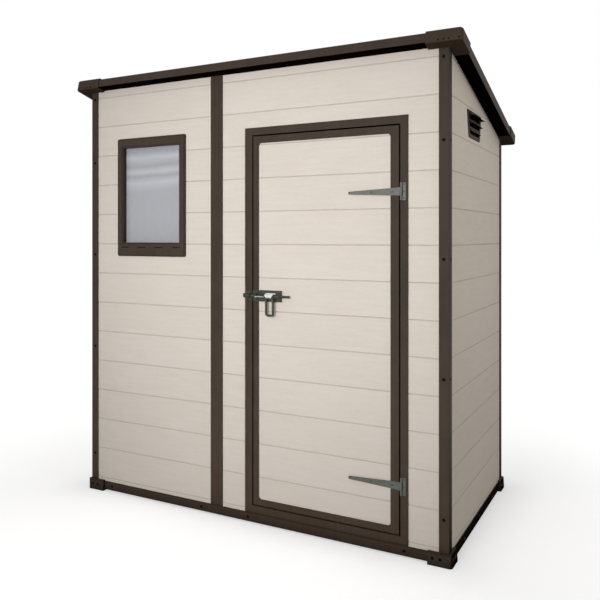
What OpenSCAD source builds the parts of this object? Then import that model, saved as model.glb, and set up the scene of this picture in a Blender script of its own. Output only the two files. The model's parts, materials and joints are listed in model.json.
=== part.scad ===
// Plastic garden shed with a mono-pitch roof, a side-hung door, a fixed window and gable vents.
// Millimetres. +Z up, -Y is the front. The origin is under the middle of the building, at ground level.

/* [Overall size] */
// Width across the outer faces of the corner posts
wall_w = 1724; // [1640:1:2400]
// Depth across the outer faces of the corner posts
wall_d = 1052; // [870:1:1600]
// Height of the roof's highest edge above the ground
front_h = 1998; // [1900:1:2450]
// Fall of the roof towards the back, in degrees
roof_pitch = 12.9; // [6:0.1:16]

/* [Wall panels] */
// Thickness of a wall panel
panel_t = 18; // [12:1:26]
// How far the panels sit behind the faces of the posts
panel_inset = 4; // [4:0.5:8]
// Height of one plank moulded into the panels
plank_pitch = 142; // [90:0.1:200]
// Height of the lowest groove between two planks
first_groove_z = 63; // [55:1:120]
// Width of a groove
groove_w = 5; // [3:0.5:10]
// Depth of a groove
groove_d = 2.5; // [1:0.5:4]

/* [Posts] */
// Thickness of a post behind the wall panel
post_back = 5; // [3:0.5:8]
// How far panels enter the posts and the base rails
seat_d = 12; // [8:1:16]
// Width of a corner post seen from the front
corner_w = 39; // [34:1:60]
// Width of a corner post seen from the side
corner_d = 39; // [34:1:60]
// Width of the posts between two panels
mid_post_w = 62; // [44:1:80]
// Centre of the front middle post, from the left face of the building
mid_post_x = 714; // [640:1:740]
// Radius of the rounded edges of the posts
post_r = 3; // [1:0.5:3.5]

/* [Base] */
// Gap between the ground and the base rails
rail_lift = 7; // [5:1:16]
// Height of the top of the base rails
rail_top = 46; // [42:1:60]
// How far a corner foot stands out from the walls
foot_out = 12; // [6:1:20]
// Reach of a corner foot along each wall, from the corner of the building
foot_len = 80; // [60:1:100]
// Height of a corner foot
foot_h = 50; // [46:1:58]
// Radius of the outer corner of a corner foot
foot_r = 14; // [3:1:18]
// How much a corner foot narrows towards its top
foot_taper = 4; // [1:0.5:6]
// Height of the floor
floor_top = 40; // [30:1:42]

/* [Door frame] */
// Left edge of the door frame, from the left face of the building
door_x = 858; // [800:1:880]
// Overall width of the door frame
door_w = 711; // [592:1:730]
// Height of the top of the door frame
door_top = 1700; // [1500:1:1760]
// Width of the door frame's face on the latch side
latch_face = 35; // [33:1:46]
// Width of the door frame's face on the hinge side
hinge_face = 30; // [26:1:46]
// Width of the door frame's face above the door
head_face = 32; // [26:1:46]
// Depth of the door frame
door_d = 46; // [40:1:60]
// Height of the door sill
sill_h = 33; // [24:1:50]
// Width of the stop behind the door
stop_w = 14; // [10:1:20]
// Thickness of the stop behind the door
stop_t = 8; // [5:1:10]

/* [Door] */
// Gap round the door
door_gap = 6; // [5.5:0.5:8]
// Thickness of the door
leaf_t = 30; // [24:1:31]
// Width of the door's own frame on the latch side
leaf_latch_rail = 26; // [20:1:50]
// Width of the door's own frame on the hinge side
leaf_hinge_rail = 33; // [24:1:50]
// Width of the door's own frame at the top
leaf_top_rail = 30; // [20:1:50]
// Width of the door's own frame at the bottom
leaf_bottom_rail = 27; // [20:1:50]
// Radius of the inner corners of that frame
leaf_r = 13; // [4:1:20]
// Thickness of the door panel
leaf_panel_t = 20; // [14:1:22]
// How far the door panel sits behind its frame
leaf_panel_inset = 3; // [2:0.5:6]

/* [Hinges] */
// Height of the lower hinge
hinge_low_z = 273; // [200:1:500]
// Height of the upper hinge
hinge_high_z = 1406; // [1000:1:1440]
// Length of a strap from the hinge pin
strap_len = 215; // [120:1:260]
// Height of a strap at the pin
strap_h = 31; // [24:1:40]
// Height of a strap at its tip
strap_tip_h = 12; // [8:1:20]
// Thickness of the hinge plates
hinge_t = 3; // [2:0.5:4]
// Radius of the hinge barrel
barrel_r = 4.5; // [4:0.25:6]
// Radius of the hinge pin
pin_r = 2.2; // [1.5:0.1:3]
// Running gap between the pin and the strap's knuckle
pin_gap = 0.4; // [0.2:0.1:0.6]
// Width of the plate on the door frame
butt_w = 17; // [14:1:24]
// Height of the plate on the door frame
butt_h = 68; // [56:1:90]

/* [Latch] */
// Height of the sliding bolt
bolt_z = 981; // [700:1:1200]
// Radius of the bolt
bolt_r = 5; // [3.5:0.5:6]
// Distance of the bolt's axis from the face of the door
bolt_out = 17; // [15:0.5:20]
// Length of the bolt
bolt_len = 177; // [160:1:195]
// Travel of the bolt from open to locked
bolt_travel = 26; // [15:1:28]
// Length of the latch plate
latch_len = 135; // [125:1:150]
// Height of the latch plate
latch_h = 48; // [40:1:60]
// Thickness of the latch plate and of the keep plate
latch_t = 3; // [2:0.5:4]
// Width of the swinging loop
loop_w = 41; // [36:1:46]
// Drop of the loop below the bolt's axis
loop_drop = 86; // [60:1:100]
// Thickness of the loop's wire
loop_wire = 9.5; // [6:0.5:10]
// Radius of the loop's two lower bends
loop_bend = 9; // [7:0.5:12]

/* [Window] */
// Left edge of the window frame, from the left face of the building
window_x = 162; // [90:1:180]
// Width of the window frame
window_w = 389; // [280:1:460]
// Height of the bottom of the window frame
window_z = 1141; // [900:1:1240]
// Height of the window frame
window_h = 559; // [400:1:640]
// Face width of the window frame at the sides
window_side = 35; // [28:1:50]
// Face width of the window frame at the top
window_head = 45; // [28:1:60]
// Face width of the window frame at the bottom
window_sill = 65; // [50:1:80]
// How far the window frame stands out from the wall panel
window_proud = 8; // [5:1:14]
// Radius of the outer corners of the window frame
window_r = 9; // [4:1:14]
// Width of the lower rims along the outer and the inner edge of the window frame
window_rim = 8; // [5:1:12]
// How far those rims lie behind the frame's face
window_step = 3; // [1:0.5:4]
// Number of slots in the bottom of the window frame
window_slots = 4; // [2:1:6]
// Length of a slot
slot_len = 42; // [20:1:46]
// Height of a slot
slot_h = 4; // [2:0.5:6]
// How far the pane sits behind the face of the window frame
pane_recess = 26; // [14:1:27]
// Thickness of the pane
pane_t = 3; // [2:0.5:5]

/* [Vents] */
// Distance of a vent's centre from the front of the building
vent_y = 440; // [300:1:520]
// Width of a vent at its top
vent_w = 266; // [200:1:320]
// How much narrower a vent is at its bottom, on each side
vent_taper = 28; // [0:1:40]
// Height of the bottom of a vent
vent_z = 1642; // [1200:1:1660]
// Height of a vent
vent_h = 113; // [90:1:125]
// Thickness of a vent's plate and hoods
vent_t = 3; // [2:0.5:4]
// Number of hoods on a vent
vent_hoods = 3; // [2:1:4]
// How far the top hood stands out
hood_out = 22; // [15:1:30]
// How far the lowest hood stands out
hood_last = 8; // [6:1:14]
// Distance of the hoods' ends from the ends of the plate
hood_margin = 18; // [6:1:30]
// Height of the opening under each hood
hood_gap = 11; // [5:0.5:13]
// Radius of the hoods' front corners
hood_r = 9; // [4:0.5:12]
// Height of the plate above the first hood
vent_head = 4; // [2:0.5:8]
// Height of the plate below the last opening
vent_rim = 16; // [8:1:20]

/* [Roof] */
// How far the roof reaches past the walls at the sides
roof_side = 58; // [45:1:90]
// How far the roof reaches past the walls at the front and back
roof_end = 50; // [40:0.5:80]
// Thickness of the roof panels
roof_panel_t = 26; // [20:1:28]
// How far the underside of the roof is hollowed outside the walls
soffit_d = 14; // [6:1:16]
// Height of the roof's edge trim above the underside of the roof
trim_h = 42; // [40:1:55]
// How far the side trims hang below the underside of the roof
trim_lip = 7; // [4:1:14]
// Thickness of the trim's upright part
trim_wall = 8; // [6:1:14]
// Width of the trim's flange over the roof panels
trim_flange = 45; // [34:1:60]
// Height of the flange's inner edge above the roof panels
trim_edge = 6; // [5:0.5:8]
// Radius of the rounded top edge of the trim
trim_r = 11; // [6:1:12]
// How far the corner caps stand out from the trims
cap_proud = 4; // [1:0.5:6]
// Reach of a corner cap along the front and back
cap_len_x = 136; // [100:1:180]
// Reach of a corner cap along the sides
cap_len_y = 130; // [100:1:180]
// Radius of a corner cap seen from above
cap_r = 16; // [13:1:35]
// Radius of the rounded lower edge of a corner cap
cap_foot_r = 5; // [2:0.5:6]
// Thickness of a corner cap's plates over and under the roof
cap_t = 4; // [3:0.5:6]

/* [Hidden] */
$fn = 48;
eps = 1;

half_w = wall_w / 2;
half_d = wall_d / 2;
post_t = panel_inset + panel_t + post_back;
front_y = -half_d;
panel_y = front_y + panel_inset;
seat_z = rail_top - seat_d;

door_left = door_x - half_w;
door_right = door_left + door_w;
way_left = door_left + latch_face;
way_right = door_right - hinge_face;
way_top = door_top - head_face;
way_bottom = rail_top + sill_h;

leaf_left = way_left + door_gap;
leaf_right = way_right - door_gap;
leaf_top = way_top - door_gap;
leaf_bottom = way_bottom + door_gap;
leaf_panel_y = front_y + leaf_panel_inset;

barrel_gap = 1;
pin_x = way_right + barrel_r;
pin_y = front_y - barrel_r - barrel_gap;
knuckle_gap = 0.75;
knuckle_h = strap_h + 2 * knuckle_gap;
strap_lift = barrel_r + barrel_gap;
neck = pin_x - leaf_right + 1;

bolt_y = front_y - bolt_out;
bolt_gap = 0.6;
bolt_tip_x = leaf_left;
latch_x = leaf_left;
latch_end = latch_x + latch_len;
guide_w = 24;
guide_wall = 3.5;
keep_w = 30;
guide_h = latch_h - 10;
loop_reach = loop_w - loop_wire;
loop_gap = 5;
loop_x = latch_end - guide_w - loop_gap - loop_w / 2;
eye_r = bolt_r + 4;

mid_x = mid_post_x - half_w;
mid_left = mid_x - mid_post_w / 2;
mid_right = mid_x + mid_post_w / 2;
window_left = window_x - half_w;
window_lap = 12;
frame_y = panel_y - window_proud;
pane_y = frame_y + pane_recess;
pane_cover = 2;
frame_back_y = max(front_y + post_t, pane_y + pane_t + pane_cover);
hood_pitch = (vent_h - vent_head - vent_rim) / vent_hoods;

// The roof is built flat and tilted about its front edge. Its underside is the plane w = 0.
cap_h = trim_h + cap_proud;
cap_wall = trim_wall + cap_proud;
cap_inner = cap_len_x - cap_proud;
trim_crest = trim_r + 4;
roof_half = half_w + roof_side - cap_proud;
roof_y0 = -half_d - roof_end + cap_foot_r + (cap_proud - cap_foot_r) * cos(roof_pitch)
    + (trim_lip - cap_foot_r) * sin(roof_pitch);
roof_z0 = front_h - trim_r + (trim_r - cap_proud) * sin(roof_pitch) - (cap_h - trim_r) * cos(roof_pitch);
roof_reach = half_d + roof_end - trim_r - roof_y0 - (cap_h - trim_r) * sin(roof_pitch);
roof_len = roof_reach / cos(roof_pitch) - cap_proud + trim_r;
roof_fit = 0.05;

// Height of the walls' sloping tops, just under the roof, at a distance y from the middle
function under_roof(y) = roof_z0 - roof_fit - (y - roof_y0) * tan(roof_pitch);

// Heights of the grooves between two levels
function groove_levels(z0, z1) = [
    for (z = [first_groove_z : plank_pitch : z1 - groove_w])
        if (z > z0 + groove_w) z
];

// Section of a planked panel: outer face at 0, inner face at t
function plank_section(t, z0, z1) = concat(
    [[t, z0], [0, z0]],
    [for (z = groove_levels(z0, z1)) each
        [[0, z - groove_w / 2], [groove_d, z], [0, z + groove_w / 2]]],
    [[0, z1], [t, z1]]
);

// Extrudes a section drawn in Y and Z along X
module along_x(x0, x1) {
    translate([x0, 0, 0]) rotate([90, 0, 90]) linear_extrude(x1 - x0) children();
}

// Extrudes a section drawn in X and Z along Y
module along_y(y0, y1) {
    translate([0, y1, 0]) rotate([90, 0, 0]) linear_extrude(y1 - y0) children();
}

// Extrudes a plan upwards between two heights
module upwards(z0, z1) {
    translate([0, 0, z0]) linear_extrude(z1 - z0) children();
}

// What rounding takes off a corner at the origin, with the solid towards + and +
module corner_round(radius) {
    difference() {
        translate([-eps, -eps]) square(radius + eps);
        translate([radius, radius]) circle(radius);
    }
}

// Rectangle with rounded corners and its lower left corner at the origin
module round_rect(w, h, radius) {
    translate([radius, 0]) square([w - 2 * radius, h]);
    translate([0, radius]) square([w, h - 2 * radius]);
    for (x = [radius, w - radius], y = [radius, h - radius])
        translate([x, y]) circle(radius);
}

// The side of the building's section that lies under the roof
module under_roof_section() {
    y = half_d + roof_end;
    polygon([[-y, 0], [y, 0], [y, under_roof(y)], [-y, under_roof(-y)]]);
}

// Everything below the roof
module below_roof() {
    x = half_w + roof_side;
    along_x(-x, x) under_roof_section();
}

// Upright block over the building's plan, a little larger all round
module wall_block(margin) {
    upwards(0, front_h)
        translate([-half_w - margin, -half_d - margin])
            square([wall_w + 2 * margin, wall_d + 2 * margin]);
}

module turned_back() {
    rotate([0, 0, 180]) children();
}

// ---- Base ----

module floor_half() {
    inner = post_t;
    upwards(0, floor_top)
        translate([0, -half_d + inner])
            square([half_w - inner, wall_d - 2 * inner]);
}

module floor_panel_right() { color("#4b443d") floor_half(); }

module floor_panel_left() { color("#4b443d") mirror([1, 0, 0]) floor_half(); }

// Channel that holds the bottom of a wall, drawn with its outer face at 0
module rail_section() {
    difference() {
        translate([0, rail_lift]) square([post_t, rail_top - rail_lift]);
        translate([panel_inset, seat_z]) square([panel_t, seat_d + eps]);
    }
}

module rail_along_x() {
    x = half_w - foot_len;
    along_x(-x, x) translate([front_y, 0]) rail_section();
}

module base_rail_front() {
    color("#4a4038") rail_along_x();
}

module base_rail_back() {
    color("#4a4038") turned_back() rail_along_x();
}

module rail_along_y() {
    y = half_d - foot_len;
    along_y(-y, y) translate([-half_w, 0]) rail_section();
}

module base_rail_left() { color("#4a4038") rail_along_y(); }

module base_rail_right() { color("#4a4038") turned_back() rail_along_y(); }

// Side view of a foot: its outer face leans inwards towards the top
module foot_section(reach) {
    polygon([[-foot_out, 0], [reach, 0], [reach, foot_h], [-foot_out + foot_taper, foot_h]]);
}

// Foot at the corner x = 0, y = 0 of a building that lies towards +X and +Y
module foot() {
    difference() {
        intersection() {
            along_x(-foot_out, foot_len) foot_section(foot_len);
            along_y(-foot_out, foot_len) foot_section(foot_len);
        }
        upwards(-eps, foot_h + eps) translate([-foot_out, -foot_out]) corner_round(foot_r);
        translate([post_t, post_t, -eps]) cube([foot_len, foot_len, foot_h + 2 * eps]);
        translate([corner_w - seat_d, panel_inset, seat_z]) cube([foot_len, panel_t, foot_h]);
        translate([panel_inset, corner_d - seat_d, seat_z]) cube([panel_t, foot_len, foot_h]);
    }
}

module corner_feet() {
    color("#453c34")
        for (flip_x = [0, 1], flip_y = [0, 1])
            mirror([flip_x, 0, 0]) mirror([0, flip_y, 0])
                translate([-half_w, -half_d, 0]) foot();
}

// ---- Posts ----

// Plan of a corner post at x = 0, y = 0, with a slot for each of its two panels
module corner_plan() {
    difference() {
        union() {
            square([corner_w, post_t]);
            square([post_t, corner_d]);
        }
        corner_round(post_r);
        translate([corner_w - seat_d, panel_inset]) square([seat_d + eps, panel_t]);
        translate([panel_inset, corner_d - seat_d]) square([panel_t, seat_d + eps]);
    }
}

module corner_post(flip_x, flip_y) {
    color("#4a4038")
        intersection() {
            mirror([flip_x, 0, 0]) mirror([0, flip_y, 0])
                upwards(foot_h, front_h) translate([-half_w, -half_d]) corner_plan();
            below_roof();
        }
}

module corner_post_front_left() { corner_post(0, 0); }

module corner_post_front_right() { corner_post(1, 0); }

module corner_post_back_left() { corner_post(0, 1); }

module corner_post_back_right() { corner_post(1, 1); }

// Plan of a post between two panels, centred on x = 0 with its outer face at y = 0
module mid_plan() {
    difference() {
        translate([-mid_post_w / 2, 0]) square([mid_post_w, post_t]);
        for (side = [0, 1])
            mirror([side, 0]) translate([-mid_post_w / 2, 0]) {
                corner_round(post_r);
                translate([-eps, panel_inset]) square([seat_d + eps, panel_t]);
            }
    }
}

module front_mid_post() {
    color("#4a4038")
        intersection() {
            upwards(rail_top, front_h) translate([mid_x, -half_d]) mid_plan();
            below_roof();
        }
}

module back_mid_post() {
    color("#4a4038")
        intersection() {
            upwards(rail_top, front_h) translate([mid_x, half_d]) mirror([0, 1, 0]) mid_plan();
            below_roof();
        }
}

// ---- Walls ----

// Front wall panel between two places along X, from height z0 up to the roof
module front_panel(x0, x1, z0) {
    along_x(x0, x1)
        intersection() {
            translate([panel_y, 0]) polygon(plank_section(panel_t, z0, front_h));
            under_roof_section();
        }
}

module back_panel(x0, x1) {
    along_x(x0, x1)
        intersection() {
            mirror([1, 0]) translate([panel_y, 0]) polygon(plank_section(panel_t, seat_z, front_h));
            under_roof_section();
        }
}

module front_wall_window_panel() {
    color("#ddd5ca")
        difference() {
            front_panel(-half_w + corner_w - seat_d, mid_left + seat_d, seat_z);
            translate([window_left + window_lap, panel_y - eps, window_z + window_lap])
                cube([window_w - 2 * window_lap, panel_t + 2 * eps, window_h - 2 * window_lap]);
        }
}

module front_wall_beside_door_left() {
    color("#ddd5ca") front_panel(mid_right - seat_d, door_left, seat_z);
}

module front_wall_beside_door_right() {
    color("#ddd5ca") front_panel(door_right, half_w - corner_w + seat_d, seat_z);
}

module front_wall_over_door() {
    color("#ddd5ca") front_panel(door_left, door_right, door_top);
}

module back_wall_left() {
    color("#ddd5ca") back_panel(-half_w + corner_w - seat_d, mid_left + seat_d);
}

module back_wall_right() {
    color("#ddd5ca") back_panel(mid_right - seat_d, half_w - corner_w + seat_d);
}

module vent_hole() {
    margin = 10;
    half_len = vent_w / 2 - vent_taper;
    translate([-half_w - eps, vent_y - half_d - half_len, vent_z + margin])
        cube([post_t + 2 * eps, 2 * half_len, vent_h - 2 * margin]);
}

// Left side wall; the right one is its mirror image
module side_panel() {
    y = half_d - corner_d + seat_d;
    difference() {
        intersection() {
            along_y(-y, y)
                translate([-half_w + panel_inset, 0]) polygon(plank_section(panel_t, seat_z, front_h));
            below_roof();
        }
        vent_hole();
    }
}

module side_wall_left() { color("#cfc6ba") side_panel(); }

module side_wall_right() { color("#cfc6ba") mirror([1, 0, 0]) side_panel(); }

// ---- Door frame ----

// Plan of a jamb with the doorway towards +X and the door's stop at the back
module jamb_plan(face) {
    square([face, door_d]);
    translate([0, door_d - stop_t]) square([face + stop_w, stop_t]);
}

module door_jamb_left() {
    color("#4a4038")
        upwards(rail_top, door_top)
            translate([door_left, front_y]) jamb_plan(latch_face);
}

module door_jamb_right() {
    color("#4a4038")
        upwards(rail_top, door_top)
            translate([door_right, front_y]) mirror([1, 0]) jamb_plan(hinge_face);
}

module door_head() {
    color("#4a4038")
        difference() {
            along_x(way_left, way_right)
                union() {
                    translate([front_y, way_top]) square([door_d, head_face]);
                    translate([front_y + door_d - stop_t, way_top - stop_w]) square([stop_t, stop_w + eps]);
                }
            door_jamb_stops();
        }
}

// The space that the two jambs' stops take at the ends of the head
module door_jamb_stops() {
    for (x = [way_left - eps, way_right - stop_w])
        translate([x, front_y + door_d - stop_t, rail_top])
            cube([stop_w + eps, stop_t + eps, door_top - rail_top + eps]);
}

module door_sill() {
    color("#4a4038")
        difference() {
            along_x(way_left, way_right)
                translate([front_y, rail_top]) square([door_d, sill_h]);
            door_jamb_stops();
        }
}

// ---- Window ----

// Layer of the window frame, smaller than its outline by the inset all round
module window_layer(inset, y0, y1) {
    along_y(y0, y1)
        translate([window_left + inset, window_z + inset])
            round_rect(window_w - 2 * inset, window_h - 2 * inset, max(window_r - inset, 1));
}

// Opening inside the window frame, larger by the margin all round
module window_way(margin, y0, y1) {
    x = window_left + window_side - margin;
    z = window_z + window_sill - margin;
    w = window_w - 2 * window_side + 2 * margin;
    h = window_h - window_sill - window_head + 2 * margin;
    translate([x, y0, z]) cube([w, y1 - y0, h]);
}

// Row of slots below the opening
module window_slot_row() {
    depth = 4;
    drop = 15;
    z = window_z + window_sill - window_rim - drop;
    pitch = window_w / window_slots;
    for (k = [0 : window_slots - 1])
        translate([window_left + (k + 0.5) * pitch - slot_len / 2, frame_y - eps, z - slot_h / 2])
            cube([slot_len, depth + eps, slot_h]);
}

module window_frame() {
    color("#4a4038")
        difference() {
            union() {
                window_layer(0, frame_y + window_step, panel_y);
                window_layer(window_rim, frame_y, panel_y);
                along_y(panel_y - eps, frame_back_y)
                    translate([window_left + window_lap, window_z + window_lap])
                        square([window_w - 2 * window_lap, window_h - 2 * window_lap]);
            }
            window_way(0, frame_y - eps, frame_back_y + eps);
            window_way(window_rim, frame_y - eps, frame_y + window_step);
            window_slot_row();
            pane_seat();
        }
}

// Space that the pane takes in its frame
module pane_seat() {
    bite = 6;
    window_way(bite, pane_y, pane_y + pane_t);
}

module window_pane() { color("#a9a9ab") pane_seat(); }

// ---- Vents ----

// Plan of a hood on the face x = 0, with its two front corners rounded
module hood_plan(half_len, out) {
    corner_r = min(hood_r, out / 2);
    translate([corner_r - out, -half_len]) square([out - corner_r, 2 * half_len]);
    translate([-out, corner_r - half_len]) square([out, 2 * (half_len - corner_r)]);
    for (side = [-1, 1])
        translate([corner_r - out, side * (half_len - corner_r)]) circle(corner_r);
}

// Hood with its lip at z = 0: the face is steep at its top and flares out towards the lip
module hood_form(half_len, out, rise) {
    intersection() {
        along_y(-half_len, half_len)
            polygon([[0, rise], [-out / 4, rise / 2], [-out, 0], [-out, -eps], [0, -eps]]);
        upwards(-eps, rise) hood_plan(half_len, out);
    }
}

// Moulded hood, open below, on the plate's face at x = 0
module hood(half_len, out, rise) {
    difference() {
        hood_form(half_len, out, rise);
        translate([0, 0, -vent_t]) hood_form(half_len - vent_t, out - vent_t, rise);
        translate([-out - eps, -half_len - eps, -2 * eps])
            cube([out + 2 * eps, 2 * (half_len + eps), 2 * eps]);
    }
}

// Outline of a vent's plate: narrower at the bottom, with its corners cut
module vent_outline() {
    cut = 4;
    top = vent_w / 2;
    low = top - vent_taper;
    polygon([
        [cut - low, 0], [low - cut, 0], [low, cut], [top, vent_h - cut],
        [top - cut, vent_h], [cut - top, vent_h], [-top, vent_h - cut], [-low, cut]
    ]);
}

// Left vent: a plate on the wall with hoods that get shorter and shallower towards the bottom
module vent() {
    rise = hood_pitch - hood_gap;
    translate([-half_w + panel_inset, vent_y - half_d, vent_z])
        difference() {
            union() {
                rotate([90, 0, 90]) translate([0, 0, -vent_t]) linear_extrude(vent_t) vent_outline();
                for (k = [0 : vent_hoods - 1])
                    translate([-vent_t, 0, lip_z(k)])
                        hood(hood_half(k), hood_out + (hood_last - hood_out) * k / (vent_hoods - 1), rise);
            }
            for (k = [0 : vent_hoods - 1])
                translate([-vent_t - eps, vent_t - hood_half(k), lip_z(k) - hood_gap])
                    cube([vent_t + 2 * eps, 2 * (hood_half(k) - vent_t), hood_gap + rise / 2]);
        }
}

// Height of the lip of hood k above the bottom of the vent
function lip_z(k) = vent_rim + hood_gap + (vent_hoods - 1 - k) * hood_pitch;

// Half the length of hood k, which follows the outline of the plate
function hood_half(k) = vent_w / 2 - vent_taper * (vent_h - lip_z(k) + hood_gap) / vent_h - hood_margin;

module vent_left() { color("#453c34") vent(); }

module vent_right() { color("#453c34") mirror([1, 0, 0]) vent(); }

// ---- Roof ----

// Places a roof piece: u is X, v runs down the slope from the front, w is square to the roof
module on_roof() {
    translate([0, roof_y0, roof_z0]) rotate([-roof_pitch, 0, 0]) children();
}

// Turns a piece made for the front so that it fits the back
module at_back() {
    translate([0, roof_len, 0]) mirror([0, 1, 0]) children();
}

// Right half of the roof: thinner outside the walls, with low ribs down the slope
module roof_half_panel() {
    rib_w = 30;
    rib_h = 5;
    rib_gap = 110;
    block_margin = 3;
    width = roof_half - trim_wall;
    length = roof_len - 2 * trim_wall;
    rib_start = cap_len_y + rib_w / 2;
    ribs = floor((width - trim_flange) / rib_gap);
    on_roof() {
        translate([0, trim_wall, soffit_d]) cube([width, length, roof_panel_t - soffit_d]);
        for (k = [0 : ribs - 1])
            translate([rib_gap * (k + 0.5) - rib_w / 2, rib_start, roof_panel_t - eps])
                cube([rib_w, roof_len - 2 * rib_start, rib_h + eps]);
    }
    intersection() {
        on_roof() translate([0, trim_wall, 0]) cube([width, length, soffit_d + eps]);
        wall_block(block_margin);
    }
}

module roof_panel_right() { color("#3b342e") roof_half_panel(); }

module roof_panel_left() { color("#3b342e") mirror([1, 0, 0]) roof_half_panel(); }

// Section of an edge from its outer face at 0 inwards: upright, rounded at the top, with a flange
// that slopes down to the roof panels. The lift raises the whole top, and the wall is the upright.
module edge_section(lip, lift, wall, depth) {
    difference() {
        polygon([
            [0, -lip], [wall, -lip], [wall, roof_panel_t], [depth, roof_panel_t],
            [depth, roof_panel_t + trim_edge + lift],
            [trim_crest + lift, trim_h + lift], [0, trim_h + lift]
        ]);
        translate([0, trim_h + lift]) mirror([0, 1]) corner_round(trim_r);
    }
}

module front_fascia() {
    x = roof_half - cap_inner;
    along_x(-x, x) edge_section(0, 0, trim_wall, trim_flange);
}

module roof_fascia_front() { color("#4a4038") on_roof() front_fascia(); }

module roof_fascia_back() { color("#4a4038") on_roof() at_back() front_fascia(); }

module side_trim() {
    y = cap_len_y - cap_proud;
    along_y(y, roof_len - y)
        translate([-roof_half, 0]) edge_section(trim_lip, 0, trim_wall, trim_flange);
}

module roof_trim_left() { color("#4a4038") on_roof() side_trim(); }

module roof_trim_right() { color("#4a4038") mirror([1, 0, 0]) on_roof() side_trim(); }

// Section of a corner cap's rim, which also has a rounded lower edge
module cap_section() {
    difference() {
        edge_section(trim_lip, cap_proud, cap_wall, trim_flange + cap_proud);
        translate([0, -trim_lip]) corner_round(cap_foot_r);
    }
}

// Rim of a cap: its section runs along the front, turns round the corner and runs along the side
module cap_rim() {
    along_x(cap_r, cap_len_x) cap_section();
    along_y(cap_r, cap_len_y) cap_section();
    translate([cap_r, cap_r, 0]) rotate([0, 0, 180])
        rotate_extrude(angle = 90)
            intersection() {
                translate([cap_r, 0]) mirror([1, 0]) cap_section();
                translate([0, -trim_lip]) square([cap_r, cap_h + trim_lip]);
            }
}

// Moulded cap over the front left corner of the roof, without its lower plate
module corner_cap() {
    plate_r = 12;
    reach = cap_len_x + cap_len_y;
    difference() {
        union() {
            cap_rim();
            upwards(roof_panel_t, roof_panel_t + cap_t)
                translate([cap_r, cap_r]) round_rect(cap_len_x - cap_r, cap_len_y - cap_r, plate_r);
        }
        translate([cap_wall, cap_wall, -trim_lip - eps])
            cube([reach, reach, trim_lip + eps + roof_panel_t]);
    }
}

// Lower plate of a cap, which closes the hollow between the rim and the walls
module cap_plate() {
    translate([cap_wall - eps, cap_wall - eps, -trim_lip])
        cube([cap_len_x - cap_wall + eps, cap_len_y - cap_wall + eps, cap_t]);
}

// Places a cap's piece over the front left corner, and its mirror image over the back left one
module at_left_corners() {
    on_roof()
        translate([-roof_half - cap_proud, -cap_proud, 0]) children();
    on_roof()
        at_back() translate([-roof_half - cap_proud, -cap_proud, 0]) children();
}

module roof_corner_caps() {
    color("#453c34")
        for (side = [0, 1])
            mirror([side, 0, 0]) {
                at_left_corners() corner_cap();
                difference() {
                    at_left_corners() cap_plate();
                    wall_block(roof_fit);
                }
            }
}

// ---- Door ----

// Outline in X and Z of the opening inside the door's own frame
module leaf_opening() {
    w = leaf_right - leaf_left - leaf_latch_rail - leaf_hinge_rail;
    h = leaf_top - leaf_bottom - leaf_top_rail - leaf_bottom_rail;
    translate([leaf_left + leaf_latch_rail, leaf_bottom + leaf_bottom_rail])
        round_rect(w, h, leaf_r);
}

// Extent of the door panel, which enters its frame all round
module leaf_panel_block(grooved) {
    x0 = leaf_left + leaf_latch_rail - seat_d;
    x1 = leaf_right - leaf_hinge_rail + seat_d;
    z0 = leaf_bottom + leaf_bottom_rail - seat_d;
    z1 = leaf_top - leaf_top_rail + seat_d;
    if (grooved)
        along_x(x0, x1)
            translate([leaf_panel_y, 0]) polygon(plank_section(leaf_panel_t, z0, z1));
    else
        translate([x0, leaf_panel_y, z0]) cube([x1 - x0, leaf_panel_t, z1 - z0]);
}

module door_panel() { color("#ddd5ca") leaf_panel_block(true); }

module door_leaf_frame() {
    color("#4a4038")
        difference() {
            along_y(front_y, front_y + leaf_t)
                difference() {
                    translate([leaf_left, leaf_bottom])
                        square([leaf_right - leaf_left, leaf_top - leaf_bottom]);
                    leaf_opening();
                }
            leaf_panel_block(false);
        }
}

// ---- Hinges ----

// Plate on the jamb with the outer knuckles and the pin
module hinge_butt(z) {
    end_h = (butt_h - knuckle_h) / 2;
    color("#6f716a")
        translate([pin_x, pin_y, z]) {
            cylinder(h = butt_h, r = pin_r, center = true);
            for (side = [-1, 1])
                translate([0, 0, side * (knuckle_h + end_h) / 2])
                    cylinder(h = end_h, r = barrel_r, center = true);
            difference() {
                translate([0, strap_lift - hinge_t, -butt_h / 2])
                    cube([butt_w, hinge_t, butt_h]);
                translate([-eps, 0, -knuckle_h / 2])
                    cube([barrel_r + 2 * barrel_gap + eps, 2 * barrel_r, knuckle_h]);
            }
        }
}

module hinge_butts() {
    for (z = [hinge_low_z, hinge_high_z]) hinge_butt(z);
}

// Outline of a strap in X and Z, with the pin at x = 0 and the tip towards -X
module strap_outline() {
    tip_r = strap_tip_h / 2;
    polygon([
        [-neck, -strap_h / 2], [-neck, strap_h / 2],
        [-strap_len + tip_r, tip_r], [-strap_len + tip_r, -tip_r]
    ]);
    translate([-strap_len + tip_r, 0]) circle(tip_r);
}

module hinge_strap(z) {
    color("#6f716a")
        translate([pin_x, pin_y, z])
            difference() {
                union() {
                    cylinder(h = strap_h, r = barrel_r, center = true);
                    along_y(strap_lift - hinge_t, strap_lift) strap_outline();
                    upwards(-strap_h / 2, strap_h / 2)
                        translate([0, -hinge_t / 2]) {
                            translate([-neck, 0]) square([neck, hinge_t]);
                            translate([-neck - hinge_t, 0]) square([hinge_t, strap_lift + hinge_t / 2]);
                        }
                }
                cylinder(h = strap_h + 2 * eps, r = pin_r + pin_gap, center = true);
            }
}

module hinge_straps() {
    for (z = [hinge_low_z, hinge_high_z]) hinge_strap(z);
}

// ---- Latch ----

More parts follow.
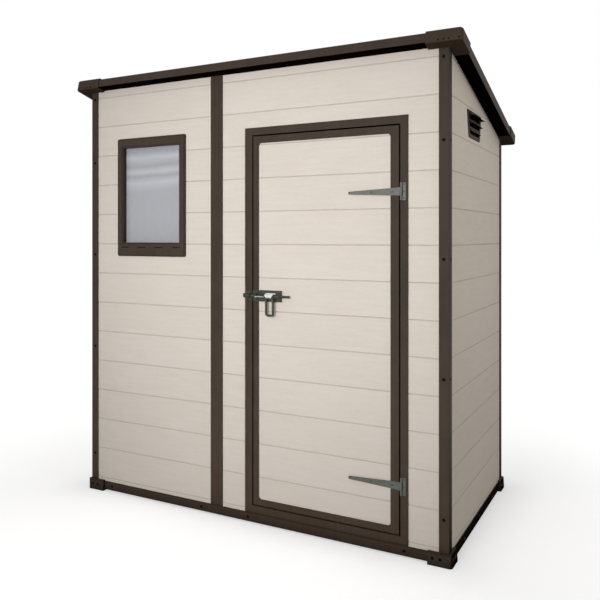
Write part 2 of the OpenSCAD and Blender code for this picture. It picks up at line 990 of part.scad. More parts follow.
// Section in Y and Z of a strap bent round the bolt: it rests on y = 0, and the bolt is at -reach
module guide_section(height, reach) {
    outer_r = bolt_r + bolt_gap + guide_wall;
    difference() {
        union() {
            translate([-latch_t, -height / 2]) square([latch_t, height]);
            translate([-reach, -outer_r]) square([reach, 2 * outer_r]);
            translate([-reach, 0]) circle(outer_r);
        }
        translate([-reach, 0]) circle(bolt_r + bolt_gap);
    }
}

module latch_keep() {
    x1 = way_left - 1;
    color("#3a3a34")
        along_x(x1 - keep_w, x1)
            translate([front_y, bolt_z]) guide_section(guide_h, bolt_out);
}

module latch_plate() {
    color("#3a3a34")
        translate([latch_x, front_y - latch_t, bolt_z - latch_h / 2])
            cube([latch_len, latch_t, latch_h]);
}

module latch_guides() {
    color("#3a3a34")
        for (x = [latch_x, latch_end - guide_w])
            along_x(x, x + guide_w)
                translate([front_y - latch_t, bolt_z]) guide_section(guide_h, bolt_out - latch_t);
}

module latch_bolt() {
    collar_w = loop_reach - loop_wire - 1;
    color("#4d4e48")
        translate([0, bolt_y, bolt_z]) rotate([0, 90, 0]) {
            translate([0, 0, bolt_tip_x]) cylinder(h = bolt_len, r = bolt_r);
            translate([0, 0, loop_x - collar_w / 2]) cylinder(h = collar_w, r = eye_r - 1);
        }
}

module latch_loop() {
    leg_x = loop_reach / 2;
    leg = loop_drop - loop_wire / 2 - loop_bend;
    color("#4d4237")
        translate([loop_x, bolt_y, bolt_z])
            difference() {
                union() {
                    for (side = [0, 1])
                        mirror([side, 0, 0]) {
                            translate([leg_x, 0, -leg]) cylinder(h = leg, r = loop_wire / 2);
                            translate([leg_x, 0, 0]) rotate([0, 90, 0])
                                cylinder(h = loop_wire, r = eye_r, center = true);
                            translate([leg_x - loop_bend, 0, -leg]) rotate([-90, 0, 0])
                                rotate_extrude(angle = 90)
                                    translate([loop_bend, 0]) circle(loop_wire / 2);
                        }
                    translate([loop_bend - leg_x, 0, -leg - loop_bend]) rotate([0, 90, 0])
                        cylinder(h = 2 * (leg_x - loop_bend), r = loop_wire / 2);
                }
                rotate([0, 90, 0])
                    cylinder(h = 2 * loop_w, r = bolt_r + bolt_gap, center = true);
            }
}

floor_panel_left();
floor_panel_right();
base_rail_front();
base_rail_back();
base_rail_left();
base_rail_right();
corner_feet();
corner_post_front_left();
corner_post_front_right();
corner_post_back_left();
corner_post_back_right();
front_mid_post();
back_mid_post();
front_wall_window_panel();
front_wall_beside_door_left();
front_wall_beside_door_right();
front_wall_over_door();
back_wall_left();
back_wall_right();
side_wall_left();
side_wall_right();
door_jamb_left();
door_jamb_right();
door_head();
door_sill();
window_frame();
window_pane();
vent_left();
vent_right();
roof_panel_left();
roof_panel_right();
roof_fascia_front();
roof_fascia_back();
roof_trim_left();
roof_trim_right();
roof_corner_caps();
hinge_butts();
latch_keep();
door_panel();
door_leaf_frame();
hinge_straps();
latch_plate();
latch_guides();
latch_bolt();
latch_loop();
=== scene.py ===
"""Looks of the plastic garden shed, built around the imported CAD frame. Metres, +Z up, -Y is the front."""

import json
import math

import bmesh
import bpy
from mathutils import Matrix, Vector


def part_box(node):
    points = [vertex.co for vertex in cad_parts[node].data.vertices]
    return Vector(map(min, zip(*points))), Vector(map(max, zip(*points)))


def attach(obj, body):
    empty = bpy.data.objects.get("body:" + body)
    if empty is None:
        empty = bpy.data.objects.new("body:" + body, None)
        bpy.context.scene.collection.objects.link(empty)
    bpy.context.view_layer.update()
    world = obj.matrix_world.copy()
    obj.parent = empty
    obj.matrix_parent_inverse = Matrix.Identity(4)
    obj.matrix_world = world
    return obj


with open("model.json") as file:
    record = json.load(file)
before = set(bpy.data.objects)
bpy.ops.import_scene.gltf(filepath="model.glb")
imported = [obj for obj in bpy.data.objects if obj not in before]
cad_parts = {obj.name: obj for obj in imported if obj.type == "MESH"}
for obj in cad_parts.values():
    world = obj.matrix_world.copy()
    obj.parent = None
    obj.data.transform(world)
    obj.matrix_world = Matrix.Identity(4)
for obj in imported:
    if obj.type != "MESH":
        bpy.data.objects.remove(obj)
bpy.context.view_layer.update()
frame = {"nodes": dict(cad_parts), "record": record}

# ---- Camera ----

CAMERA_PLACE = (1.533, -3.329, 1.227)
CAMERA_TURN = math.radians(31.064)
CAMERA_LENS = 44.355
CAMERA_SHIFT = (0.1417, -0.1033)


def make_camera():
    data = bpy.data.cameras.new("camera")
    data.lens = CAMERA_LENS
    data.shift_x, data.shift_y = CAMERA_SHIFT
    camera = bpy.data.objects.new("camera", data)
    camera.location = CAMERA_PLACE
    camera.rotation_euler = (math.radians(90), 0, CAMERA_TURN)
    bpy.context.scene.collection.objects.link(camera)
    bpy.context.scene.camera = camera


# ---- Materials ----

def srgb(text):
    """Linear colour of a hex sRGB colour."""
    values = [int(text[i:i + 2], 16) / 255 for i in (1, 3, 5)]
    return tuple(v / 12.92 if v <= 0.04045 else ((v + 0.055) / 1.055) ** 2.4 for v in values)


def tint(text, factors):
    """Linear colour of a hex sRGB colour, times a factor for each channel."""
    return tuple(v * f for v, f in zip(srgb(text), factors))


class Nodes:
    """A material's node tree with short ways to add and join nodes."""

    def __init__(self, name):
        self.material = bpy.data.materials.new(name)
        self.material.use_nodes = True
        self.tree = self.material.node_tree
        self.shader = self.tree.nodes["Principled BSDF"]

    def add(self, kind, **settings):
        node = self.tree.nodes.new(kind)
        for key, value in settings.items():
            setattr(node, key, value)
        return node

    def link(self, output, target):
        self.tree.links.new(output, target)

    def feed(self, node, values):
        """Sets or links a node's inputs in their order; None leaves one as it is."""
        for socket, value in zip(node.inputs, values):
            if value is None:
                continue
            if isinstance(value, (int, float)):
                socket.default_value = value
            else:
                self.link(value, socket)

    def math(self, operation, a, b=None):
        node = self.add("ShaderNodeMath", operation=operation)
        self.feed(node, (a, b))
        return node.outputs[0]

    def times(self, first, *others):
        for other in others:
            first = self.math("MULTIPLY", first, other)
        return first

    def size_of(self, value):
        """The value without its sign."""
        return self.math("ABSOLUTE", value)

    def combine(self, x, y, z):
        node = self.add("ShaderNodeCombineXYZ")
        self.feed(node, (x, y, z))
        return node.outputs[0]

    def split(self, output):
        node = self.add("ShaderNodeSeparateXYZ")
        self.link(output, node.inputs[0])
        return node.outputs

    def place(self):
        """Object coordinates, split into X, Y and Z."""
        return self.split(self.add("ShaderNodeTexCoord").outputs["Object"])

    def facing(self):
        """The face's direction, split into X, Y and Z."""
        return self.split(self.add("ShaderNodeTexCoord").outputs["Normal"])

    def noise(self, vector, scale, detail=4.0, rough=0.5):
        node = self.add("ShaderNodeTexNoise")
        node.inputs["Scale"].default_value = scale
        node.inputs["Detail"].default_value = detail
        node.inputs["Roughness"].default_value = rough
        self.link(vector, node.inputs["Vector"])
        return node.outputs["Fac"]

    def ramp(self, factor, stops):
        node = self.add("ShaderNodeValToRGB")
        ramp = node.color_ramp
        while len(ramp.elements) < len(stops):
            ramp.elements.new(0.5)
        for element, (position, color) in zip(ramp.elements, stops):
            element.position = position
            element.color = (*color, 1.0)
        self.link(factor, node.inputs[0])
        return node.outputs[0]

    def span(self, factor, low, high, start=0.0, end=1.0):
        """Maps a factor from start..end to low..high, and holds it there outside."""
        node = self.add("ShaderNodeMapRange")
        for key, value in (("From Min", start), ("From Max", end), ("To Min", low), ("To Max", high)):
            node.inputs[key].default_value = value
        self.link(factor, node.inputs["Value"])
        return node.outputs["Result"]

    def mix(self, factor, a, b):
        """Colour a where the factor is 0, and b where it is 1."""
        node = self.add("ShaderNodeMix", data_type="RGBA")
        self.link(factor, node.inputs["Factor"])
        for index, value in ((6, a), (7, b)):
            if isinstance(value, tuple):
                node.inputs[index].default_value = (*value, 1.0)
            else:
                self.link(value, node.inputs[index])
        return node.outputs[2]

    def scale(self, color, factor):
        """Colour times one linked factor."""
        node = self.add("ShaderNodeVectorMath", operation="SCALE")
        self.link(color, node.inputs[0])
        self.link(factor, node.inputs["Scale"])
        return node.outputs[0]

    def product(self, color, factors):
        """Colour times a fixed factor for each channel."""
        node = self.add("ShaderNodeVectorMath", operation="MULTIPLY")
        self.link(color, node.inputs[0])
        node.inputs[1].default_value = factors
        return node.outputs[0]

    def bump(self, height, distance, strength=1.0, normal=None):
        node = self.add("ShaderNodeBump")
        node.inputs["Distance"].default_value = distance
        node.inputs["Strength"].default_value = strength
        self.link(height, node.inputs["Height"])
        if normal is not None:
            self.link(normal, node.inputs["Normal"])
        return node.outputs["Normal"]

    def box_mask(self, value, low, high, soft):
        """1 between low and high, fading to 0 over soft outside."""
        up = self.span(value, 0.0, 1.0, low - soft, low)
        down = self.span(value, 1.0, 0.0, high, high + soft)
        return self.times(up, down)

    def finish(self, color, rough, normal=None, metallic=0.0, specular=0.5):
        """Sets or links the shader's inputs, and gives the material."""
        if isinstance(color, tuple):
            self.shader.inputs["Base Color"].default_value = (*color, 1.0)
        else:
            self.link(color, self.shader.inputs["Base Color"])
        if isinstance(rough, (int, float)):
            self.shader.inputs["Roughness"].default_value = rough
        else:
            self.link(rough, self.shader.inputs["Roughness"])
        if normal is not None:
            self.link(normal, self.shader.inputs["Normal"])
        self.shader.inputs["Metallic"].default_value = metallic
        if isinstance(specular, (int, float)):
            self.shader.inputs["Specular IOR Level"].default_value = specular
        else:
            self.link(specular, self.shader.inputs["Specular IOR Level"])
        return self.material


PLANK_PITCH = 0.142
FIRST_GROOVE = 0.063
GROOVE_REACH = 0.004
# Share of the groove's reach that is fully darkened, and how strongly the grooves are darkened
GROOVE_CORE = 0.2
GROOVE_DARKENING = 0.35
# How far the grain is shifted from one plank to the next
PLANK_SHIFT = 3.17
# Painted shade on the side walls: faces that look sideways are a little darker and warmer
SIDE_WALL_PAINTED_SHADE = (1.0, 0.965, 0.925)
# Space of the vent holes in the side walls, where painted shade darkens the walls inside
VENT_HOLE_X = (0.8405, 0.8575)
VENT_HOLE_Y = (-0.215, 0.043)
VENT_HOLE_Z = (1.64, 1.76)
VENT_HOLE_SOFT = 0.0003
DEEP_SHADE = "#0c0806"


def plank_material(name, light, dark, groove):
    """Moulded plastic planks: a faint grain runs along each plank, and the grooves are darker."""
    n = Nodes(name)
    x, y, z = n.place()
    along = n.math("ADD", x, y)
    row = n.math("DIVIDE", n.math("SUBTRACT", z, FIRST_GROOVE), PLANK_PITCH)
    line = n.math("FLOOR", n.math("ADD", row, 0.5))
    shift = n.times(n.math("FLOOR", row), PLANK_SHIFT)
    wavy = n.combine(n.math("ADD", along, shift), shift, n.times(z, 9.0))
    wavy = n.noise(wavy, scale=7.0, detail=6.0, rough=0.6)
    fine = n.noise(n.combine(n.times(along, 9.0), shift, n.times(z, 90.0)), scale=5.0, detail=3.0)
    broad = n.noise(n.combine(along, shift, z), scale=2.1, detail=2.0)
    tone = n.math("ADD", n.times(wavy, 0.4), n.times(fine, 0.35))
    tone = n.math("ADD", tone, n.times(broad, 0.25))
    color = n.ramp(tone, [(0.36, srgb(dark)), (0.60, srgb(light))])
    away = n.size_of(n.math("SUBTRACT", row, line))
    reach = GROOVE_REACH / PLANK_PITCH
    near = n.span(away, GROOVE_DARKENING, 0.0, GROOVE_CORE * reach, reach)
    color = n.mix(near, color, srgb(groove))
    # Painted shade on faces that look sideways
    sideways = n.size_of(n.facing()[0])
    color = n.mix(n.span(sideways, 0.0, 1.0, 0.5, 0.9), color, n.product(color, SIDE_WALL_PAINTED_SHADE))
    # Painted shade inside the vent holes
    vent_hole_shade = n.times(
        n.box_mask(n.size_of(x), *VENT_HOLE_X, VENT_HOLE_SOFT),
        n.box_mask(z, *VENT_HOLE_Z, VENT_HOLE_SOFT),
        n.box_mask(y, *VENT_HOLE_Y, VENT_HOLE_SOFT),
    )
    color = n.mix(vent_hole_shade, color, srgb(DEEP_SHADE))
    normal = n.bump(wavy, 0.0006, 0.4)
    normal = n.bump(fine, 0.0004, 0.5, normal)
    return n.finish(color, n.span(wavy, 0.66, 0.54), normal, specular=0.1)


# Painted light and shade of the mouldings by height in metres: darkest at the ground, with a dark line over
# the base rails, palest from 0.1 to 0.5 m and less pale higher up
HEIGHT_LIGHT_SHADE = (
    (0.0, 0.40), (0.012, 0.50), (0.034, 0.80), (0.0445, 0.95), (0.0455, 0.40), (0.0475, 0.40),
    (0.0485, 1.00), (0.10, 1.25), (0.5, 1.25), (1.0, 1.0), (2.0, 1.0),
)
HEIGHT_LIGHT_SHADE_REACH = HEIGHT_LIGHT_SHADE[-1][0]
# A ramp holds no more than 1, so the painted light and shade are halved in it and doubled after it
HEIGHT_LIGHT_SHADE_SCALE = 2.0
# Painted shade of side faces high up and near the ground
SIDE_SHADE_HIGH = 0.95
SIDE_SHADE_LOW = 0.35
LOW_TINT = (1.06, 0.96, 0.86)
# Share of the gloss that a side face loses high up, and the gloss of a front face
SIDE_MATT = 0.6
MOULDED_SHINE = 0.12


def moulded_nodes(name, light, dark, under_shade=None, under_shade_at=(-0.8, -0.3)):
    """Nodes of fine-textured moulded plastic, with painted light and shade by height, and painted shade on
    the sides and where it looks down.
    """
    n = Nodes(name)
    x, y, z = n.place()
    spot = n.combine(x, y, z)
    cloud = n.noise(spot, scale=9.0, detail=4.0, rough=0.6)
    upright = n.noise(n.combine(n.times(x, 30.0), n.times(y, 30.0), z), scale=2.4, detail=3.0)
    tone = n.math("ADD", n.times(cloud, 0.6), n.times(upright, 0.4))
    color = n.ramp(tone, [(0.34, srgb(dark)), (0.66, srgb(light))])
    tinted = n.ramp(tone, [(0.34, tint(dark, LOW_TINT)), (0.66, tint(light, LOW_TINT))])
    color = n.mix(n.span(z, 1.0, 0.0, 0.05, 0.3), color, tinted)
    stops = [(height / HEIGHT_LIGHT_SHADE_REACH, (value / HEIGHT_LIGHT_SHADE_SCALE,) * 3) for height, value in HEIGHT_LIGHT_SHADE]
    # Painted light and shade by height
    height_light_shade = n.ramp(n.math("DIVIDE", z, HEIGHT_LIGHT_SHADE_REACH), stops)
    facing = n.facing()
    # Side faces get painted shade, most of it near the ground
    sideways = n.span(n.size_of(facing[0]), 0.0, 1.0, 0.3, 0.9)
    low = n.span(z, 1.0, 0.0, 0.05, 0.6)
    side_shade_level = n.span(low, SIDE_SHADE_HIGH, SIDE_SHADE_LOW)
    side_shade_factor = n.math("ADD", 1.0, n.times(sideways, n.math("SUBTRACT", side_shade_level, 1.0)))
    color = n.scale(color, n.times(height_light_shade, HEIGHT_LIGHT_SHADE_SCALE, side_shade_factor))
    matt = n.times(sideways, n.span(low, SIDE_MATT, 1.0))
    if under_shade:
        # Painted shade on faces that look down, and on the roof on its upright faces too
        down = n.span(facing[2], 1.0, 0.0, *under_shade_at)
        color = n.mix(down, color, srgb(under_shade))
        matt = n.math("MAXIMUM", matt, down)
    shine = n.span(matt, MOULDED_SHINE, 0.0)
    normal = n.bump(n.noise(spot, scale=700.0, detail=2.0), 0.0003, 0.35)
    return n, (x, y, z), color, n.span(cloud, 0.52, 0.64), normal, shine


def moulded_material(*settings):
    n, _, color, rough, normal, shine = moulded_nodes(*settings)
    return n.finish(color, rough, normal, specular=shine)


# The window frame: the plane between its rim and its step, its middle, and the row of slots in its sill
WINDOW_STEP_Y = -0.5285
WINDOW_STEP_SOFT = 0.0012
WINDOW_MIDDLE = -0.5055
RIM_TONE = 1.15
STEP_TONE = 0.95
SLOT_ROW_HALF = 0.175
SLOT_Z = (1.1812, 1.1848)


def window_frame_material(name, light, dark):
    """The window frame: the step behind its rim is darker, and painted shade darkens its slots inside."""
    n, (x, y, z), color, rough, normal, shine = moulded_nodes(name, light, dark)
    behind = n.span(y, 0.0, 1.0, WINDOW_STEP_Y - WINDOW_STEP_SOFT, WINDOW_STEP_Y)
    color = n.scale(color, n.span(behind, RIM_TONE, STEP_TONE))
    beside = n.size_of(n.math("SUBTRACT", x, WINDOW_MIDDLE))
    in_row = n.span(beside, 1.0, 0.0, SLOT_ROW_HALF, SLOT_ROW_HALF + 0.001)
    # Painted shade inside the slots of the sill
    slot = n.times(behind, n.box_mask(z, *SLOT_Z, 0.0006), in_row)
    color = n.mix(slot, color, srgb("#050302"))
    return n.finish(color, rough, normal, specular=shine)


def zinc_nodes(name, light, dark):
    """Nodes of dull galvanised steel, with its colour and surface."""
    n = Nodes(name)
    x, y, z = n.place()
    spot = n.combine(x, y, z)
    spangle = n.add("ShaderNodeTexVoronoi")
    spangle.inputs["Scale"].default_value = 190.0
    n.link(spot, spangle.inputs["Vector"])
    cloud = n.noise(spot, scale=55.0, detail=4.0, rough=0.6)
    tone = n.math("ADD", n.times(spangle.outputs["Distance"], 0.4), n.times(cloud, 0.6))
    color = n.ramp(tone, [(0.25, srgb(dark)), (0.7, srgb(light))])
    return n, (x, y, z), cloud, color


def zinc_material(name, light, dark, metallic=0.35, shine=0.4):
    n, _, cloud, color = zinc_nodes(name, light, dark)
    return n.finish(color, n.span(cloud, 0.45, 0.65), n.bump(cloud, 0.0002, 0.4), metallic, shine)


# Painted highlight round the loop, which narrows downwards, and a streak of painted highlight beside it
BRIGHT_X = (0.098, 0.143)
BRIGHT_Z = (0.972, 0.992)
BRIGHT_SLANT = 0.7
STREAK_X = (0.058, 0.096)
STREAK_Z = (0.9755, 0.979)


def latch_material(name):
    """Dark, weathered zinc with a painted highlight round the loop."""
    n, (x, y, z), cloud, color = zinc_nodes(name, "#43443b", "#2d2e26")
    lean = n.times(n.math("SUBTRACT", BRIGHT_Z[1], z), BRIGHT_SLANT)
    left = n.span(n.math("SUBTRACT", x, lean), 0.0, 1.0, BRIGHT_X[0] - 0.003, BRIGHT_X[0] + 0.001)
    right = n.span(n.math("ADD", x, lean), 1.0, 0.0, BRIGHT_X[1] - 0.001, BRIGHT_X[1] + 0.003)
    painted_highlight = n.times(left, right, n.box_mask(z, *BRIGHT_Z, 0.002))
    highlight_streak = n.times(n.box_mask(x, *STREAK_X, 0.002), n.box_mask(z, *STREAK_Z, 0.001))
    painted_highlight = n.math("MAXIMUM", painted_highlight, highlight_streak)
    # Painted highlight in pale zinc colour over the dark zinc
    color = n.mix(painted_highlight, color, srgb("#e4e5e2"))
    return n.finish(color, n.span(cloud, 0.42, 0.6), n.bump(cloud, 0.0002, 0.4), 0.25, 0.35)


# Heights of the pane's foot and head
PANE_LOW = 1.190
PANE_HIGH = 1.650
PANE_SLANT = -0.012
PANE_DRIFT = 0.035
PANE_DIM, PANE_MID, PANE_PALE = "#acadb2", "#b4b5ba", "#c9cbd0"
# Bands of painted reflection on the pane from its foot (0) to its head (1)
PANE_REFLECTION_BANDS = ((0.0, PANE_PALE), (0.03, PANE_DIM), (0.30, PANE_MID), (0.58, PANE_MID), (0.67, PANE_PALE),
              (0.735, PANE_DIM), (0.78, PANE_PALE), (0.835, PANE_DIM), (0.92, PANE_PALE), (0.975, PANE_DIM))


def pane_material(name):
    """Translucent window sheet with soft, slightly slanting bands of painted reflection."""
    n = Nodes(name)
    x, y, z = n.place()
    drift = n.noise(n.combine(n.times(x, 3.0), 0.0, n.times(z, 5.0)), scale=1.4, detail=3.0)
    level = n.math("ADD", z, n.times(x, PANE_SLANT))
    level = n.math("ADD", level, n.times(n.math("SUBTRACT", drift, 0.5), PANE_DRIFT))
    level = n.span(level, 0.0, 1.0, PANE_LOW, PANE_HIGH)
    # Painted reflection bands, from the pane's foot to its head
    color = n.ramp(level, [(share, srgb(tone)) for share, tone in PANE_REFLECTION_BANDS])
    blotch = n.noise(n.combine(n.times(x, 2.0), 0.0, z), scale=22.0, detail=3.0)
    color = n.mix(n.span(blotch, 0.0, 0.25, 0.4, 0.8), color, srgb("#c4c5ca"))
    return n.finish(color, 0.34, None, specular=0.4)


# The fourth colour of a moulding, where given, is the painted shade of its faces that look down
MATERIALS = {
    "wall_plastic": plank_material("wall_plastic", "#e9e0d6", "#e2d8cc", "#b0a598"),
    "trim_plastic": moulded_material("trim_plastic", "#473d34", "#3c332b", "#100b08"),
    "roof_plastic": moulded_material("roof_plastic", "#3f372e", "#342d25", DEEP_SHADE, (0.3, 0.7)),
    "floor_plastic": moulded_material("floor_plastic", "#544b43", "#463e37"),
    "galvanised_steel": zinc_material("galvanised_steel", "#696b66", "#4c4f48"),
    "latch_metal": latch_material("latch_metal"),
    "pane_plastic": pane_material("pane_plastic"),
}
SCREW_METAL = zinc_material("screw_metal", "#080503", "#040302", 0.0, 0.06)
HINGE_SCREW_METAL = zinc_material("hinge_screw_metal", "#4a4b44", "#33342f")
# The caps and vents get painted shade on their faces that look down
CAP_PLASTIC = moulded_material("cap_plastic", "#453b31", "#3a3128", "#41352a")
WINDOW_PLASTIC = window_frame_material("window_frame_plastic", "#453b33", "#3a322a")
VENT_PLASTIC = moulded_material("vent_plastic", "#43362d", "#382c24", DEEP_SHADE)

BEVELS = {"wall_plastic": 0.0007, "trim_plastic": 0.0014, "roof_plastic": 0.0014, "floor_plastic": 0.0014,
          "galvanised_steel": 0.0005, "latch_metal": 0.0005, "pane_plastic": 0.0003}
BEVEL_ANGLE = math.radians(50)


def dress_frame():
    """Gives every CAD node the material of its slot, and small rounded edges."""
    for part in frame["record"]["subparts"]:
        obj = frame["nodes"][part["node"]]
        obj.data.materials.clear()
        material = MATERIALS[part["material_slot"]]
        if part["node"].startswith("vent"):
            material = VENT_PLASTIC
        elif part["node"] == "roof_corner_caps":
            material = CAP_PLASTIC
        elif part["node"] == "window_frame":
            material = WINDOW_PLASTIC
        obj.data.materials.append(material)
        bevel = obj.modifiers.new("edges", "BEVEL")
        bevel.width = BEVELS[part["material_slot"]]
        bevel.segments = 2
        bevel.limit_method = "ANGLE"
        bevel.angle_limit = BEVEL_ANGLE
        bevel.harden_normals = True


# ---- Screws ----

SCREW_SIDES = 16
# Profile of a pan head: share of its radius, and share of its height
HEAD = ((1.0, 0.0), (1.0, 0.35), (0.86, 0.8), (0.6, 1.0))
# Cross recess: its long and short share of the head's radius, and its floor's share of the height
RECESS_WIDE = 0.46
RECESS_NARROW = 0.17
RECESS_FLOOR = 0.3


def add_head(mesh, place, normal, radius, height):
    """A pan head with a cross recess, standing on a face with its normal."""
    turn = Vector((0, 0, 1)).rotation_difference(Vector(normal)).to_matrix()
    rings = [[(share * radius, level * height)] * SCREW_SIDES for share, level in HEAD]
    cross = [RECESS_WIDE if k % 4 == 0 else RECESS_NARROW for k in range(SCREW_SIDES)]
    rings.append([(share * radius, height) for share in cross])
    rings.append([(0.85 * share * radius, RECESS_FLOOR * height) for share in cross])
    loops = []
    for ring in rings:
        loop = []
        for k, (r, h) in enumerate(ring):
            angle = math.tau * k / SCREW_SIDES
            point = Vector((r * math.cos(angle), r * math.sin(angle), h))
            loop.append(mesh.verts.new(Vector(place) + turn @ point))
        loops.append(loop)
    for low, high in zip(loops, loops[1:]):
        for k in range(SCREW_SIDES):
            after = (k + 1) % SCREW_SIDES
            mesh.faces.new((low[k], low[after], high[after], high[k]))
    mesh.faces.new(loops[-1])
    mesh.faces.new(loops[0][::-1])


def add_screws(name, body, material, heads):
    """One piece with all screw heads of a group: (place, normal, radius, height) each."""
    mesh = bmesh.new()
    for place, normal, radius, height in heads:
        add_head(mesh, place, normal, radius, height)
    data = bpy.data.meshes.new(name)
    mesh.to_mesh(data)
    mesh.free()
    data.materials.append(material)
    obj = bpy.data.objects.new(name, data)
    bpy.context.scene.collection.objects.link(obj)
    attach(obj, body)


FRONT, BACK, LEFT, RIGHT = (0, -1, 0), (0, 1, 0), (-1, 0, 0), (1, 0, 0)
HALF_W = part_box("corner_post_front_right")[1].x
HALF_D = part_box("corner_post_back_right")[1].y
SCREW_R = 0.0064
SCREW_H = 0.0016

# Heights of the screws in the corner posts, and how far in from the corner they are
FRONT_SCREWS_Z = (1.905, 1.594, 1.147, 0.698, 0.174)
BACK_SCREWS_Z = (1.662, 1.147, 0.698, 0.174)
SIDE_SCREWS_Z = (1.594, 1.147, 0.698)
SCREW_IN = 0.021

# Distances of the rails' screws from the building's left and front corner
RAIL_SCREWS_X = (0.126, 0.636, 0.8715, 1.553)
RAIL_SCREWS_Y = (0.24, 0.526, 0.812)
RAIL_SCREW_Z = 0.026

# Distances of a foot's two screws from its corner, on its near and on its far side; its faces lean in
FOOT_SCREWS = ((0.0127, 0.0431), (0.0324, 0.0613))
FOOT_SCREW_Z = 0.027
FOOT_OUT = 0.012
FOOT_LEAN = math.atan(4 / 50)


def post_screws():
    heads = []
    for side in (-1, 1):
        x = side * (HALF_W - SCREW_IN)
        heads += [((x, -HALF_D, z), FRONT) for z in FRONT_SCREWS_Z]
        heads += [((x, HALF_D, z), BACK) for z in BACK_SCREWS_Z]
        for y in (-HALF_D + SCREW_IN, HALF_D - SCREW_IN):
            heads += [((side * HALF_W, y, z), RIGHT if side > 0 else LEFT) for z in SIDE_SCREWS_Z]
    return heads


def rail_screws():
    heads = []
    for x in RAIL_SCREWS_X:
        heads.append(((x - HALF_W, -HALF_D, RAIL_SCREW_Z), FRONT))
        heads.append(((HALF_W - x, HALF_D, RAIL_SCREW_Z), BACK))
    for y in RAIL_SCREWS_Y:
        heads.append(((HALF_W, y - HALF_D, RAIL_SCREW_Z), RIGHT))
        heads.append(((-HALF_W, HALF_D - y, RAIL_SCREW_Z), LEFT))
    return heads


def foot_screws():
    """The screws of all four feet: the building turned half round has them in the same places."""
    out = FOOT_OUT - FOOT_SCREW_Z * math.tan(FOOT_LEAN)
    lean, rise = math.cos(FOOT_LEAN), math.sin(FOOT_LEAN)
    heads = []
    for turn in (1, -1):
        front_y, front_normal = -turn * (HALF_D + out), (0, -turn * lean, rise)
        side_x, side_normal = turn * (HALF_W + out), turn * lean
        for near, far in zip(*FOOT_SCREWS):
            heads.append(((turn * (near - HALF_W), front_y, FOOT_SCREW_Z), front_normal))
            heads.append(((turn * (HALF_W - far), front_y, FOOT_SCREW_Z), front_normal))
            heads.append(((side_x, turn * (near - HALF_D), FOOT_SCREW_Z), (side_normal, 0, rise)))
            heads.append(((-side_x, turn * (far - HALF_D), FOOT_SCREW_Z), (-side_normal, 0, rise)))
    return heads


ROOF_PITCH = math.radians(12.9)
# Origin of the roof's sloping frame at its front edge; the caps stand proud of it, and hold a row of screws
ROOF_Y0 = -0.571528
ROOF_Z0 = 1.954446
CAP_PROUD = 0.004
CAP_SCREWS = (-0.030, -0.010, 0.009, 0.0455)
CAP_SCREW_W = 0.002
CAP_SCREW_R = 0.0036


def cap_screws():
    lean, rise = math.cos(ROOF_PITCH), math.sin(ROOF_PITCH)
    y = ROOF_Y0 - CAP_PROUD * lean + CAP_SCREW_W * rise
    z = ROOF_Z0 + CAP_PROUD * rise + CAP_SCREW_W * lean
    return [((side * (HALF_W + x), y, z), (0, -lean, rise)) for side in (-1, 1) for x in CAP_SCREWS]


HINGE_T = 0.003
HINGE_FACE = -HALF_D - HINGE_T
HINGES_Z = (0.273, 1.406)
# Place along the strap and radius of its screws
STRAP_SCREWS = ((0.4715, 0.0032), (0.5625, 0.0038), (0.6455, 0.0038))
BUTT_SCREWS_Z = (0.027, 0.0, -0.025)
BUTT_SCREW_X = 0.6912
BUTT_SCREW_R = 0.0028
HINGE_SCREW_H = 0.0012


def strap_screws():
    return [((x, HINGE_FACE, z), FRONT, r, HINGE_SCREW_H) for x, r in STRAP_SCREWS for z in HINGES_Z]


def butt_screws():
    places = [(BUTT_SCREW_X, HINGE_FACE, z + dz) for dz in BUTT_SCREWS_Z for z in HINGES_Z]
    return [(place, FRONT, BUTT_SCREW_R, HINGE_SCREW_H) for place in places]


def make_screws():
    groups = (
        ("post_screws", post_screws(), SCREW_R),
        ("base_screws", rail_screws() + foot_screws(), SCREW_R),
        ("cap_screws", cap_screws(), CAP_SCREW_R),
    )
    for name, heads, radius in groups:
        heads = [(*head, radius, SCREW_H) for head in heads]
        add_screws(name, "shell", SCREW_METAL, heads)
    add_screws("strap_screws", "door", HINGE_SCREW_METAL, strap_screws())
    add_screws("butt_screws", "shell", HINGE_SCREW_METAL, butt_screws())


# ---- Stage ----

FLOOR_SIZE = 120
FLOOR_WHITE = 0.80
# Glow of the floor for the camera by distance from the shed, in metres: lower near the shed, which paints a
# soft shadow round it, and white far off
GLOW_AND_PAINTED_SHADOW = ((0.0, 0.50), (0.2, 0.60), (0.6, 0.67), (1.0, 0.73), (2.0, 0.79), (3.0, 0.80))
GLOW_SHADOW_REACH = GLOW_AND_PAINTED_SHADOW[-1][0]


def background_seen(tree):
    """1 for the rays that see the background: straight on, in gloss or through glass."""
    rays = tree.nodes.new("ShaderNodeLightPath")
    seen = rays.outputs["Is Camera Ray"]
    for kind in ("Is Glossy Ray", "Is Transmission Ray"):
        both = tree.nodes.new("ShaderNodeMath")
        both.operation = "MAXIMUM"
        tree.links.new(seen, both.inputs[0])
        tree.links.new(rays.outputs[kind], both.inputs[1])
        seen = both.outputs[0]
    return seen


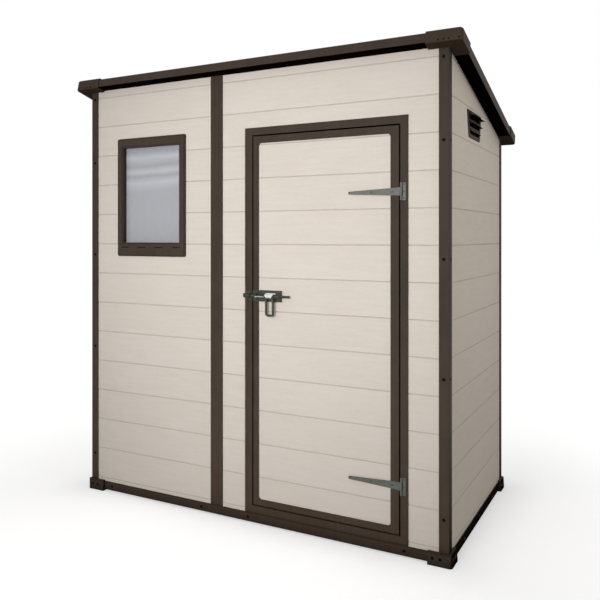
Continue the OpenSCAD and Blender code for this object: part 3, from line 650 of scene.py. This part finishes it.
def make_stage():
    """A plain pale floor, lifted to white for the rays that see the background, and lifted less near the
    shed, which paints a soft shadow round it.
    """
    bpy.ops.mesh.primitive_plane_add(size=FLOOR_SIZE)
    floor = bpy.context.object
    floor.name = "stage_floor"
    n = Nodes("stage_floor")
    n.finish((FLOOR_WHITE, FLOOR_WHITE, FLOOR_WHITE), 0.9, specular=0.0)
    glow = n.add("ShaderNodeEmission")
    add = n.add("ShaderNodeAddShader")
    seen = background_seen(n.tree)
    x, y, _ = n.place()
    out_x = n.math("MAXIMUM", n.math("SUBTRACT", n.size_of(x), HALF_W), 0.0)
    out_y = n.math("MAXIMUM", n.math("SUBTRACT", n.size_of(y), HALF_D), 0.0)
    away = n.math("SQRT", n.math("ADD", n.times(out_x, out_x), n.times(out_y, out_y)))
    away = n.math("DIVIDE", away, GLOW_SHADOW_REACH)
    # Less glow near the shed paints a soft shadow round it
    strength = n.ramp(away, [(d / GLOW_SHADOW_REACH, (v, v, v)) for d, v in GLOW_AND_PAINTED_SHADOW])
    n.link(n.times(seen, strength), glow.inputs["Strength"])
    n.link(n.shader.outputs[0], add.inputs[0])
    n.link(glow.outputs[0], add.inputs[1])
    n.link(add.outputs[0], n.tree.nodes["Material Output"].inputs["Surface"])
    floor.data.materials.append(n.material)


# ---- Light ----

SKY = 0.32
SUN = 0.18
# The sun's tilt and turn, and its soft width, in degrees
SUN_TURN = (56, -24)
SUN_WIDE = 40
# Studio lamps: name, place, aim, cone in degrees, radius, power
LAMPS = (
    ("front_lamp", (0.3, -4.0, 1.5), (0.1, -0.53, 1.3), 60, 0.6, 288.0),
    ("side_lamp", (4.0, -0.9, 2.3), (0.87, -0.1, 1.5), 44, 0.5, 86.0),
)


def make_lamp(name, place, aim, cone, radius, power):
    data = bpy.data.lights.new(name, "SPOT")
    data.energy = power
    data.spot_size = math.radians(cone)
    data.spot_blend = 1.0
    data.shadow_soft_size = radius
    lamp = bpy.data.objects.new(name, data)
    lamp.location = place
    lamp.rotation_euler = (Vector(aim) - Vector(place)).to_track_quat("-Z", "Y").to_euler()
    bpy.context.scene.collection.objects.link(lamp)


def make_light():
    """Soft studio light: a dim sky that the camera sees as white, a soft sun and the lamps."""
    world = bpy.data.worlds.new("studio")
    world.use_nodes = True
    bpy.context.scene.world = world
    tree = world.node_tree
    back = tree.nodes["Background"]
    back.inputs["Color"].default_value = (1, 1, 1, 1)
    strength = tree.nodes.new("ShaderNodeMapRange")
    strength.inputs["To Min"].default_value = SKY
    strength.inputs["To Max"].default_value = 1.0
    tree.links.new(background_seen(tree), strength.inputs["Value"])
    tree.links.new(strength.outputs[0], back.inputs["Strength"])
    sun = bpy.data.lights.new("sun", "SUN")
    sun.energy = SUN
    sun.angle = math.radians(SUN_WIDE)
    key = bpy.data.objects.new("sun", sun)
    key.rotation_euler = (math.radians(SUN_TURN[0]), 0, math.radians(SUN_TURN[1]))
    bpy.context.scene.collection.objects.link(key)
    for lamp in LAMPS:
        make_lamp(*lamp)
    bpy.context.scene.view_settings.view_transform = "Standard"


make_camera()
dress_frame()
make_screws()
make_stage()
make_light()
